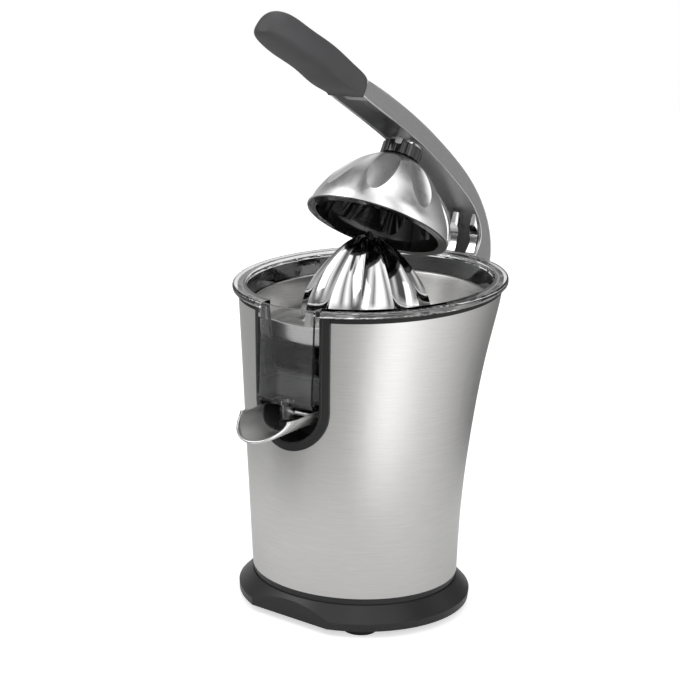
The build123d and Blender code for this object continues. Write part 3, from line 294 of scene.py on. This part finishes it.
def make_materials():
    return {
        "black_plastic": plastic("black_plastic", (0.014, 0.014, 0.015), 0.34),
        "dark_plastic": plastic("dark_plastic", (0.02, 0.02, 0.021), 0.5),
        "black_rubber": plastic("black_rubber", (0.012, 0.012, 0.012), 0.7, grain=1500.0),
        "brushed_steel": brushed("brushed_steel", STEEL, 0.3, LEVEL_LINES),
        "polished_steel": polished("polished_steel", (0.83, 0.83, 0.83), 0.07),
        "dome_steel": polished("dome_steel", (0.9, 0.9, 0.9), 0.3),
        "spout_steel": brushed("spout_steel", (0.8, 0.795, 0.785), 0.36, SPOUT_LINES, 0.3),
        "sieve_steel": brushed("sieve_steel", (0.66, 0.655, 0.64), 0.28, SIEVE_LINES, 0.5),
        # painted shade: the housing shell's inward-facing faces are painted near black
        "shell_steel_shade_painted": paint_inside_shade(brushed("shell_steel_shade_painted", STEEL, 0.3, LEVEL_LINES), BODY_Y),
        "mark_grey": plastic("mark_grey", (0.5, 0.5, 0.5), 0.4, bump=0.05),
        "chrome_trim": polished("chrome_trim", (0.86, 0.86, 0.87), 0.05),
        "smoky_clear": clear_plastic("smoky_clear", (0.86, 0.86, 0.87), 0.03),
        "shaft_steel": polished("shaft_steel", (0.6, 0.6, 0.6), 0.2),
        "gear_plastic": plastic("gear_plastic", (0.75, 0.73, 0.68), 0.4),
        "bush_brass": polished("bush_brass", (0.78, 0.6, 0.3), 0.25),
        "motor_iron": grained("motor_iron", (0.3, 0.3, 0.31), 0.45),
        "zinc_screw": polished("zinc_screw", (0.62, 0.63, 0.64), 0.25),
        "arm_metal": grained("arm_metal", (0.5, 0.5, 0.505), 0.42),
        "grip_soft": plastic("grip_soft", (0.07, 0.07, 0.073), 0.55, grain=1800.0),
        "bezel_black": plastic("bezel_black", (0.02, 0.02, 0.021), 0.24, bump=0.08),
        # painted highlight: the cheek-edge beads are lighter and more polished than the arm metal,
        # standing in for the edge's reflection
        "arm_edge_highlight": polished("arm_edge_highlight", (0.8, 0.8, 0.8), 0.22),
        "gloss_black": plastic("gloss_black", (0.01, 0.01, 0.011), 0.12, bump=0.04, coat=0.4),
    }


# ---------------------------------------------------------------- stage
FLOOR_HALF = 8.0
FLOOR_COLOUR = (0.86, 0.86, 0.86, 1)
FLOOR_GLOW = 0.6
# distance from the object in metres and share of the table that metal doesn't see there
TABLE_EDGE = ((0.22, 0.0), (0.42, 1.0))
# share of a full turn (0 at -X, 0.25 at -Y, 0.5 at +X, 0.75 at +Y) and brightness
WORLD_BANDS = (
    (0.0, 0.42), (0.06, 0.5), (0.11, 0.14), (0.17, 0.12), (0.225, 0.5), (0.33, 0.5),
    (0.365, 0.85), (0.395, 1.6), (0.44, 1.55), (0.49, 1.0), (0.57, 0.75), (0.66, 0.42),
    (0.74, 0.18), (0.83, 0.16), (0.90, 0.5), (1.0, 0.42),
)
# sine of the height and share of the upper bands, and of the plain zenith above them
HIGH_FROM = ((0.22, 0.0), (0.42, 1.0))
HIGH_BANDS = (
    (0.0, 0.15), (0.05, 1.1), (0.09, 0.14), (0.14, 1.2), (0.18, 0.12), (0.235, 1.4),
    (0.285, 0.2), (0.33, 1.4), (0.4, 1.45), (0.44, 0.25), (0.5, 1.2), (0.55, 0.08),
    (0.62, 0.1), (0.66, 0.8), (0.7, 0.08), (0.8, 0.1), (0.86, 1.1), (0.92, 0.12), (1.0, 0.15),
)
ZENITH_FROM = ((0.84, 0.0), (0.95, 1.0))
ZENITH = 1.1


def add_floor():
    """Pale table that glows towards the camera only, so that it shows white with its shadow."""
    half = FLOOR_HALF
    mesh = bpy.data.meshes.new("floor")
    corners = [(-half, -half, 0), (half, -half, 0), (half, half, 0), (-half, half, 0)]
    mesh.from_pydata(corners, [], [(0, 1, 2, 3)])
    floor = bpy.data.objects.new("floor", mesh)
    bpy.context.scene.collection.objects.link(floor)
    material = bpy.data.materials.new("floor_white")
    material.use_nodes = True
    nodes = Nodes(material)
    white = nodes.add("BsdfDiffuse")
    white.inputs["Color"].default_value = FLOOR_COLOUR
    glow = nodes.add("Emission")
    glow.inputs["Color"].default_value = (1, 1, 1, 1)
    glow.inputs["Strength"].default_value = FLOOR_GLOW
    nothing = nodes.add("Emission")
    nothing.inputs["Strength"].default_value = 0.0
    path = nodes.add("LightPath")
    pick = nodes.add("MixShader")
    nodes.link(path.outputs["Is Camera Ray"], pick.inputs[0])
    nodes.link(nothing.outputs[0], pick.inputs[1])
    nodes.link(glow.outputs[0], pick.inputs[2])
    total = nodes.add("AddShader")
    nodes.link(white.outputs[0], total.inputs[0])
    nodes.link(pick.outputs[0], total.inputs[1])
    # polished metal sees the table only near the object, and the studio beyond it
    where = nodes.add("TexCoord")
    reach = nodes.add("VectorMath", operation="LENGTH")
    nodes.link(where.outputs["Object"], reach.inputs[0])
    beyond = nodes.ramp(reach.outputs["Value"], TABLE_EDGE)
    gone = nodes.math("MULTIPLY", beyond, path.outputs["Is Glossy Ray"])
    hole = nodes.add("BsdfTransparent")
    cut = nodes.add("MixShader")
    nodes.link(gone, cut.inputs[0])
    nodes.link(total.outputs[0], cut.inputs[1])
    nodes.link(hole.outputs[0], cut.inputs[2])
    output = nodes.add("OutputMaterial")
    nodes.link(cut.outputs[0], output.inputs[0])
    mesh.materials.append(material)


def add_world():
    """Pale studio room with soft brighter and darker panels round the object."""
    world = bpy.data.worlds.new("studio")
    bpy.context.scene.world = world
    world.use_nodes = True
    nodes = Nodes(world)
    where = nodes.add("TexCoord")
    split = nodes.add("SeparateXYZ")
    nodes.link(where.outputs["Generated"], split.inputs[0])
    turn = nodes.math("ARCTAN2", split.outputs[1], split.outputs[0])
    share = nodes.math("ADD", nodes.math("DIVIDE", turn, 2 * math.pi), 0.5)
    room = nodes.ramp(share, WORLD_BANDS)
    height = nodes.ramp(split.outputs[2], HIGH_FROM)
    mix = nodes.add("Mix", data_type="RGBA")
    nodes.link(height, mix.inputs[0])
    nodes.link(room, mix.inputs[6])
    nodes.link(nodes.ramp(share, HIGH_BANDS), mix.inputs[7])
    top = nodes.add("Mix", data_type="RGBA")
    nodes.link(nodes.ramp(split.outputs[2], ZENITH_FROM), top.inputs[0])
    nodes.link(mix.outputs[2], top.inputs[6])
    top.inputs[7].default_value = (ZENITH, ZENITH, ZENITH, 1)
    shell = nodes.add("Background")
    nodes.link(top.outputs[2], shell.inputs["Color"])
    shell.inputs["Strength"].default_value = 1.0
    white = nodes.add("Background")
    white.inputs["Color"].default_value = (1, 1, 1, 1)
    path = nodes.add("LightPath")
    seen = nodes.math("MAXIMUM", path.outputs["Is Camera Ray"], path.outputs["Is Transmission Ray"])
    pick = nodes.add("MixShader")
    nodes.link(seen, pick.inputs[0])
    nodes.link(shell.outputs[0], pick.inputs[1])
    nodes.link(white.outputs[0], pick.inputs[2])
    output = nodes.add("OutputWorld")
    nodes.link(pick.outputs[0], output.inputs[0])


# name, place and size in metres, power in watts
LAMPS = (
    ("key", (-0.9, -0.9, 1.3), (0.8, 0.8), 4.0),
    ("side", (1.3, 0.1, 0.8), (0.5, 1.0), 1.5),
    ("top", (0.1, 0.2, 1.5), (1.0, 1.0), 1.5),
)
LAMP_AIM = (0, 0, 0.2)


def add_lamp(name, place, target, size, power):
    """Soft rectangular lamp that looks at the target."""
    data = bpy.data.lights.new(name, "AREA")
    data.shape = "RECTANGLE"
    data.size, data.size_y = size
    data.energy = power
    lamp = bpy.data.objects.new(name, data)
    bpy.context.scene.collection.objects.link(lamp)
    aim = Vector(target) - Vector(place)
    turned = aim.to_track_quat("-Z", "Y").to_matrix().to_4x4()
    lamp.matrix_world = Matrix.Translation(place) @ turned


def add_lamps():
    for name, place, size, power in LAMPS:
        add_lamp(name, place, LAMP_AIM, size, power)


# ---------------------------------------------------------------- mesh helpers
WELD = 1e-6


def add_piece(name, verts, faces, body, material, smooth=40.0, sheet_t=0.0):
    """New piece from points in millimetres, thickened where it is a bare sheet."""
    mesh = bpy.data.meshes.new(name)
    mesh.from_pydata([tuple(c * MM for c in v) for v in verts], [], faces)
    tidy = bmesh.new()
    tidy.from_mesh(mesh)
    bmesh.ops.remove_doubles(tidy, verts=tidy.verts, dist=WELD)
    bmesh.ops.recalc_face_normals(tidy, faces=tidy.faces)
    if sheet_t:
        bmesh.ops.solidify(tidy, geom=tidy.faces[:], thickness=sheet_t * MM)
        bmesh.ops.recalc_face_normals(tidy, faces=tidy.faces)
    tidy.to_mesh(mesh)
    tidy.free()
    piece = bpy.data.objects.new(name, mesh)
    bpy.context.scene.collection.objects.link(piece)
    mesh.materials.append(material)
    mesh.shade_smooth()
    mesh.set_sharp_from_angle(angle=math.radians(smooth))
    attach(piece, body)
    return piece


def round_profile(radius, steps):
    """Round section of a bead."""
    turns = [2 * math.pi * i / steps for i in range(steps)]
    return [(radius * math.cos(t), radius * math.sin(t)) for t in turns]


def band_profile(width, height, bevel):
    """Flat section with bevelled upper corners."""
    half = width / 2
    return [
        (-half, 0), (half, 0), (half, height - bevel), (half - bevel, height),
        (bevel - half, height), (-half, height - bevel),
    ]


def sweep(path, ups, profile, closed=False):
    """Points and faces of a section carried along a path, with its up directions."""
    count = len(path)
    size = len(profile)
    verts = []
    for i in range(count):
        before = path[(i - 1) % count] if closed or i else path[0]
        after = path[(i + 1) % count] if closed or i < count - 1 else path[-1]
        along = (Vector(after) - Vector(before)).normalized()
        side = along.cross(Vector(ups[i])).normalized()
        up = side.cross(along)
        verts += [Vector(path[i]) + side * a + up * b for a, b in profile]
    faces = []
    for i in range(count if closed else count - 1):
        here = i * size
        there = (i + 1) % count * size
        for j in range(size):
            k = (j + 1) % size
            faces.append((here + j, here + k, there + k, there + j))
    if not closed:
        faces.append(tuple(range(size)))
        faces.append(tuple(range((count - 1) * size, count * size)))
    return verts, faces


# ---------------------------------------------------------------- body form, as in the source
STEEL_LOW = 23.4
STEEL_TOP = 214.8
BODY_R_TOP = 87.7
BODY_R_FALL = 17.3
BODY_R_WAIST = 12.0
BODY_Y_LEAN = 4.5
BODY_Y_WAIST = 19.2


def body_share(z):
    return (STEEL_TOP - z) / (STEEL_TOP - STEEL_LOW)


def body_r(z):
    """Radius of the steel body at a height."""
    s = body_share(z)
    return BODY_R_TOP - BODY_R_FALL * s - BODY_R_WAIST * s * (1 - s)


def body_y(z):
    """Middle of the steel body at a height."""
    s = body_share(z)
    return -BODY_Y_LEAN * s - BODY_Y_WAIST * s * (1 - s)


def on_front(x, z, proud):
    """Point on the front of the body, standing proud of it."""
    return Vector((x, body_y(z) - math.sqrt((body_r(z) + proud) ** 2 - x * x), z))


# ---------------------------------------------------------------- slot bezel
SLOT_Z = 148.9
BEZEL_PROUD = 1.5
STEP_SUNK = 0.15
STEP_LOW = 24.4
STEP_TOP = 24.9
STEP_END = 207.4
STEP_BAND = (1.3, 0.75, 0.3)
STEP_SIDE_COUNT = 24
STEP_ARC_COUNT = 36


def add_bezel_step():
    """Raised inner step that runs round the slot on the bezel's face."""
    side = STEP_SIDE_COUNT
    rises = [STEP_END - (STEP_END - SLOT_Z) * i / side for i in range(side + 1)]
    line = []
    for z in rises:
        share = (z - SLOT_Z) / (STEP_END - SLOT_Z)
        line.append((-STEP_LOW - (STEP_TOP - STEP_LOW) * share, z))
    for i in range(1, STEP_ARC_COUNT):
        turn = math.pi * i / STEP_ARC_COUNT
        line.append((-STEP_LOW * math.cos(turn), SLOT_Z - STEP_LOW * math.sin(turn)))
    line += [(-x, z) for x, z in reversed(line[:side + 1])]
    path = [on_front(x, z, BEZEL_PROUD - STEP_SUNK) for x, z in line]
    ups = [(x, -math.sqrt(body_r(z) ** 2 - x * x), 0) for x, z in line]
    verts, faces = sweep(path, ups, band_profile(*STEP_BAND))
    black = MATERIALS["bezel_black"]
    add_piece("bezel_step", verts, faces, "housing", black)


# ---------------------------------------------------------------- spout
SPOUT_Z = 134.6
SPOUT_HALF = 19.5
SPOUT_DEPTH = 12.8
SPOUT_REAR = -69.0
SPOUT_TIP = -122.6
SPOUT_NOSE = 21.0
SPOUT_WALL = 1.2
FALL_FROM = -84.0
FRONT_FALL = 2.6
LIP_OUT = 0.9
LIP_UNDER = 0.55
LIP_FORWARD = 0.5
LIP_FLARE = 0.02
LIP_BAND = 2.6
BEAD_R = 0.85
BEAD_STEPS = 12
BEAD_UP = (0, -0.3, 1)
LINING_RIM = -85.0
LINING_REACH = 11.0
LINING_GAP = 0.15
LINING_T = 0.8
LINING_ROWS = 10
SPOUT_ACROSS = 48
SPOUT_COARSE = 24
SPOUT_FINE = 14
FINE_FROM = 0.83
SHEET_SMOOTH = 50.0
BEAD_SMOOTH = 60.0


def gutter_fall(y):
    """How far the gutter has dropped at a place along it."""
    return FRONT_FALL * max(0.0, (FALL_FROM - y) / (FALL_FROM - SPOUT_TIP))


def spout_point(turn, share, inset):
    """Point of the gutter: turn runs across from side to side, share from back to front."""
    x = (SPOUT_HALF - inset) * math.sin(turn)
    depth = (SPOUT_DEPTH - inset) * math.cos(turn)
    reach = math.sqrt(max(0.0, 1 - (x / SPOUT_HALF) ** 2))
    end = SPOUT_TIP + SPOUT_NOSE * (1 - reach)
    y = SPOUT_REAR + (end - SPOUT_REAR) * share
    z = SPOUT_Z + SPOUT_DEPTH - depth - gutter_fall(y)
    near = max(0.0, 1 - (end - y) / -LIP_BAND)
    out = LIP_OUT * near * near
    rise = 1.0 if inset else LIP_UNDER
    return Vector((x * (1 + LIP_FLARE * near), y - out * LIP_FORWARD, z + out * rise))


def lining_point(turn, share, inset):
    """Point of the dark lining in the rear of the gutter."""
    end = LINING_RIM - LINING_REACH * math.cos(turn)
    y = SPOUT_REAR + (end - SPOUT_REAR) * share
    x = (SPOUT_HALF - inset) * math.sin(turn)
    depth = (SPOUT_DEPTH - inset) * math.cos(turn)
    return Vector((x, y, SPOUT_Z + SPOUT_DEPTH - depth - gutter_fall(y)))


def sheet(point, turns, shares, insets):
    """Points and faces of a thin closed sheet between two layers of a bent grid."""
    across = len(turns)
    rows = len(shares)
    layer = rows * across
    verts = []
    for inset in insets:
        for share in shares:
            verts += [point(turn, share, inset) for turn in turns]
    faces = []
    for i in range(rows - 1):
        for j in range(across - 1):
            a = i * across + j
            quad = (a, a + 1, a + across + 1, a + across)
            faces.append(quad)
            faces.append(tuple(layer + v for v in reversed(quad)))
    edge = list(range(across))
    edge += [i * across + across - 1 for i in range(1, rows)]
    edge += [(rows - 1) * across + j for j in range(across - 2, -1, -1)]
    edge += [i * across for i in range(rows - 2, -1, -1)]
    for a, b in zip(edge, edge[1:]):
        faces.append((b, a, layer + a, layer + b))
    return verts, faces


def add_scoop():
    """Half-round gutter of the drip stop with a tongue-shaped end and a turned-out edge."""
    shares = [i / SPOUT_COARSE for i in range(SPOUT_COARSE)]
    shares = [share for share in shares if share < FINE_FROM + 1 / SPOUT_COARSE / 2]
    shares += [FINE_FROM + (1 - FINE_FROM) * i / SPOUT_FINE for i in range(1, SPOUT_FINE + 1)]
    shares = sorted(set(round(v, 5) for v in shares))
    turns = [math.pi / 2 * (2 * i / SPOUT_ACROSS - 1) for i in range(SPOUT_ACROSS + 1)]
    verts, faces = sheet(spout_point, turns, shares, (0.0, SPOUT_WALL))
    steel = MATERIALS["spout_steel"]
    piece = add_piece(
        "spout_scoop", verts, faces, "spout", steel, SHEET_SMOOTH)
    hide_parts("drip_spout")
    inner = SPOUT_WALL + LINING_GAP
    rows = [i / LINING_ROWS for i in range(LINING_ROWS + 1)]
    verts, faces = sheet(lining_point, turns, rows, (inner, inner + LINING_T))
    black = MATERIALS["bezel_black"]
    add_piece("spout_lining", verts, faces, "spout", black, SHEET_SMOOTH)
    rim = [spout_point(turn, 1.0, SPOUT_WALL / 2) for turn in turns]
    verts, faces = sweep(rim, [BEAD_UP] * len(rim), round_profile(BEAD_R, BEAD_STEPS))
    chrome = MATERIALS["chrome_trim"]
    add_piece("spout_bead", verts, faces, "spout", chrome, BEAD_SMOOTH)


# ---------------------------------------------------------------- sieve
RIM_Z = 222.5
RIM_TILT = math.radians(6.0)
SIEVE_DROP = 14.5
SIEVE_FLOOR = 186.8
CONE_Y = -3.0
SIEVE_T = 0.8
SIEVE_SLOTS = 20
SLOT_HALF = 0.8
SLOT_OUT = 62.0
SLOT_BETWEEN = 5
# radius and share of the way from the tilted lip plane to the level floor
SIEVE_FORM = (
    (80.0, 0.0), (78.6, 0.0), (78.0, 0.012), (77.7, 0.04), (76.6, 0.2), (75.2, 0.42),
    (73.8, 0.64), (72.7, 0.8), (71.9, 0.88), (70.6, 0.945), (68.8, 0.985), (66.0, 1.0),
    (SLOT_OUT, 1.0), (26.0, 1.0), (14.2, 1.0),
)


def sieve_point(radius, share, turn):
    """Point of the sieve between its tilted lip and its level floor."""
    x, y = radius * math.cos(turn), radius * math.sin(turn)
    c, s = math.cos(RIM_TILT), math.sin(RIM_TILT)
    lip = Vector((x, y * c + SIEVE_DROP * s, RIM_Z + y * s - SIEVE_DROP * c))
    floor = Vector((x, CONE_Y + y, SIEVE_FLOOR))
    return lip.lerp(floor, share)


def add_sieve_pan():
    """Steep-walled sieve pan with radial strainer slots in its floor."""
    period = 2 * math.pi / SIEVE_SLOTS
    between = SLOT_BETWEEN
    verts = []
    for radius, share in SIEVE_FORM:
        half = math.asin(SLOT_HALF / radius)
        for i in range(SIEVE_SLOTS):
            middle = i * period
            verts.append(sieve_point(radius, share, middle - half))
            for k in range(between):
                step = (period - 2 * half) * k / between
                verts.append(sieve_point(radius, share, middle + half + step))
    across = SIEVE_SLOTS * (between + 1)
    faces = []
    for ring in range(len(SIEVE_FORM) - 1):
        slotted = SIEVE_FORM[ring][0] == SLOT_OUT
        for j in range(across):
            if slotted and j % (between + 1) == 0:
                continue
            a, b = ring * across + j, ring * across + (j + 1) % across
            faces.append((a, b, b + across, a + across))
    steel = MATERIALS["sieve_steel"]
    piece = add_piece(
        "sieve_pan", verts, faces, "housing", steel, SHEET_SMOOTH, SIEVE_T)
    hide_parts("sieve_bowl")


# ---------------------------------------------------------------- lever arm
ARM_HALF = 14.0
LEVEL_WITHIN = 0.01
FACING = 0.98
EDGE_R = 0.5
EDGE_STEPS = 8
EDGE_SUNK = 0.35
EDGE_STEP = 0.8


def arm_outline(side):
    """Joined points round the flat cheek of the arm on one side, read from its solid."""
    data = bmesh.new()
    data.from_mesh(NODES["lever_arm"].data)
    bmesh.ops.remove_doubles(data, verts=data.verts, dist=WELD)
    data.normal_update()
    rims = {}
    for edge in data.edges:
        flat = [f for f in edge.link_faces if f.normal.x * side > FACING]
        level = all(v.co.x * side > (ARM_HALF - LEVEL_WITHIN) * MM for v in edge.verts)
        if len(flat) == 1 and len(edge.link_faces) == 2 and level:
            for v, w in (edge.verts, reversed(edge.verts)):
                rims.setdefault(tuple(v.co), []).append(tuple(w.co))
    data.free()
    return rims


def walk(rims):
    """The longest closed walk through a set of joined points."""
    loops = []
    left = set(rims)
    while left:
        start = max(left, key=lambda point: (round(point[1], 7), point))
        loop = [start]
        left.discard(start)
        while True:
            following = [p for p in rims[loop[-1]] if p in left]
            if not following:
                break
            left.discard(following[0])
            loop.append(following[0])
        loops.append(loop)
    return max(loops, key=len)


def add_arm_edges():
    """Rounded bead along the edge of each cheek: a real edge, in a lighter polished metal than the
    arm that paints on its highlight.
    """
    for side, name in ((1, "right"), (-1, "left")):
        loop = [Vector(p) / MM for p in walk(arm_outline(side))]
        path = []
        for point in loop:
            if not path or (point - path[-1]).length > EDGE_STEP:
                path.append(point)
        path = [p - Vector((side * EDGE_SUNK, 0, 0)) for p in path]
        ups = [(side, 0, 0)] * len(path)
        profile = round_profile(EDGE_R, EDGE_STEPS)
        verts, faces = sweep(path, ups, profile, closed=True)
        # the bead's lighter metal is a painted highlight on the real rounded edge
        highlight_paint = MATERIALS["arm_edge_highlight"]
        add_piece("arm_edge_highlight_" + name, verts, faces, "arm", highlight_paint, BEAD_SMOOTH)


# ---------------------------------------------------------------- collar
DOME_TILT = math.radians(27.8)
DOME_PLACE = Vector((0, 5.7, 256.0))
COLLAR_R = 13.8
MARK_RISE = 57.2
MARK_TURN = math.radians(18.0)
MARK_STEPS = 24
MARK_SQUARE = 0.55
# level over the collar's ribs and half width of the insert there
MARK_FORM = ((-1.2, 2.3), (0.0, 2.3), (0.35, 1.9))


def add_collar_mark():
    """Small pale insert in the front of the release collar."""
    up = Vector((0, math.sin(DOME_TILT), math.cos(DOME_TILT)))
    front = Vector((0, -math.cos(DOME_TILT), math.sin(DOME_TILT)))
    right = Vector((1, 0, 0))
    out = front * math.cos(MARK_TURN) + right * math.sin(MARK_TURN)
    side = out.cross(up).normalized()
    steps = MARK_STEPS
    verts = []
    for level, half in MARK_FORM:
        middle = DOME_PLACE + out * (COLLAR_R + level)
        for i in range(steps):
            turn = 2 * math.pi * i / steps
            c, n = math.cos(turn), math.sin(turn)
            a = half * math.copysign(abs(c) ** MARK_SQUARE, c)
            b = half * math.copysign(abs(n) ** MARK_SQUARE, n)
            verts.append(middle + up * (MARK_RISE + b) + side * a)
    faces = []
    for k in range(len(MARK_FORM) - 1):
        low, high = k * steps, (k + 1) * steps
        for i in range(steps):
            j = (i + 1) % steps
            faces.append((low + i, low + j, high + j, high + i))
    faces.append(tuple(range(steps)))
    faces.append(tuple(range((len(MARK_FORM) - 1) * steps, len(MARK_FORM) * steps)))
    grey = MATERIALS["mark_grey"]
    add_piece("collar_mark", verts, faces, "collar", grey)


# ---------------------------------------------------------------- build
add_camera()
MATERIALS = make_materials()
add_floor()
add_world()
add_lamps()

# nodes whose finish differs from their slot's common one; the housing shell's also carries painted
# shade on its inner faces
OWN_LOOK = {"press_dome": "dome_steel", "housing_shell": "shell_steel_shade_painted"}
slot_of = {part["node"]: part["material_slot"] for part in frame["record"]["subparts"]}
for name, node in NODES.items():
    node.data.materials.clear()
    node.data.materials.append(MATERIALS[OWN_LOOK.get(name, slot_of[name])])

add_bezel_step()
add_scoop()
add_sieve_pan()
add_collar_mark()
add_arm_edges()

scene = bpy.context.scene
scene.view_settings.view_transform = "Standard"
